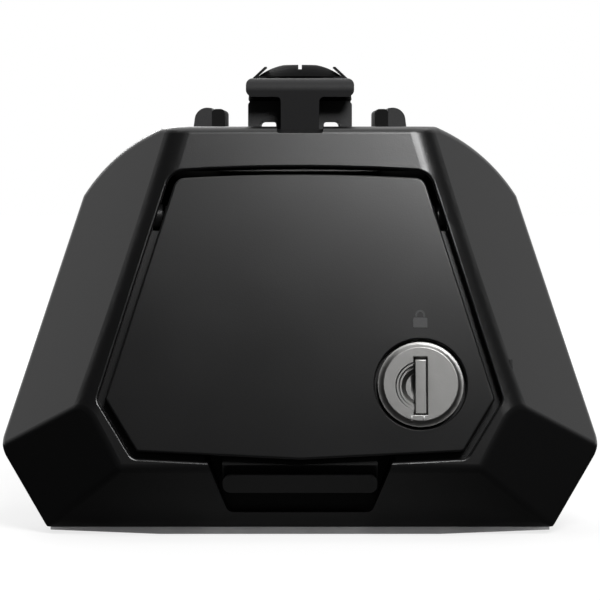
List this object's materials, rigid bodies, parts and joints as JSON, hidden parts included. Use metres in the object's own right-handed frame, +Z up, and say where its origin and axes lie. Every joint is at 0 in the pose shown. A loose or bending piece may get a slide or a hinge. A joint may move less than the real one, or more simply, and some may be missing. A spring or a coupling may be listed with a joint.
{
  "type": "roof bar foot",
  "caption": "Foot of a roof bar for a raised roof rail: faceted black cover with a lockable door, T-plate for the bar's slot, and a screw-drawn jaw that grips the rail.",
  "frame": {"origin": "middle of the box around the foot, on the plane it stands on", "axes": "+X along the rail, +Y from the cover's front towards the sliding jaw, +Z up towards the bar"},
  "size_m": [0.1368, 0.0926, 0.1074],
  "materials": {
    "cover_plastic": "fine moulded grain",
    "body_plastic": "moulded, satin",
    "black_steel": "black coated",
    "frame_metal": "black powder coat",
    "lock_metal": "satin nickel",
    "plated_steel": "zinc plated",
    "black_rubber": "matt",
    "sole_rubber": "matt, grey"
  },
  "bodies": {
    "foot": {"cover_shell": "cover_plastic", "body_moulding": "body_plastic", "base_frame": "frame_metal", "rail_pad": "black_rubber", "outer_jaw_pad": "black_rubber", "cover_screws": "plated_steel", "bar_buffers": "black_rubber", "bar_seat": "body_plastic", "seat_screws": "plated_steel", "tee_washer": "plated_steel", "thrust_washer": "plated_steel", "sole_trim": "sole_rubber"},
    "door": {"door_panel": "cover_plastic", "hinge_pins": "plated_steel", "lock_sleeve": "plated_steel", "lock_clip": "plated_steel"},
    "lock": {"lock_core": "lock_metal", "lock_shutter": "lock_metal", "lock_cam": "plated_steel", "cam_screw": "plated_steel"},
    "tee_nut": {"tee_nut": "plated_steel"},
    "tee": {"tee_plate": "black_steel", "tee_bolt": "black_steel", "tee_spring_clip": "black_steel"},
    "clamp": {"clamp_bolt": "plated_steel", "bolt_ring": "plated_steel"},
    "jaw": {"inner_jaw": "frame_metal", "inner_jaw_pad": "black_rubber", "jaw_nut": "plated_steel"}
  },
  "joints": [
    {"name": "door_hinge", "type": "hinge", "parent": "foot", "child": "door", "pos_m": [0, -0.02685, 0.07223], "axis": [-1, 0, 0], "range_deg": [0, 50]},
    {"name": "lock_turn", "type": "hinge", "parent": "door", "child": "lock", "pos_m": [0.02706, -0.04245, 0.03524], "axis": [0, 0.975, -0.2223], "range_deg": [0, 90]},
    {"name": "tee_nut_turn", "type": "hinge", "parent": "foot", "child": "tee_nut", "pos_m": [0, -0.0095, 0.077], "axis": [0, 0, 1], "range_deg": [-864, 720]},
    {"name": "tee_slide", "type": "slide", "parent": "foot", "child": "tee", "axis": [0, 0, 1], "range_m": [-0.0025, 0.003]},
    {"name": "clamp_turn", "type": "hinge", "parent": "foot", "child": "clamp", "pos_m": [0, -0.02, 0.05], "axis": [0, 1, 0], "range_deg": [0, 3456]},
    {"name": "jaw_slide", "type": "slide", "parent": "foot", "child": "jaw", "axis": [0, 1, 0], "range_m": [-0.012, 0]}
  ],
  "couplings": [
    {"joint": "tee_nut_turn", "follows": "tee_slide", "rad_per_m": -5026.5},
    {"joint": "clamp_turn", "follows": "jaw_slide", "rad_per_m": -5026.5}
  ]
}
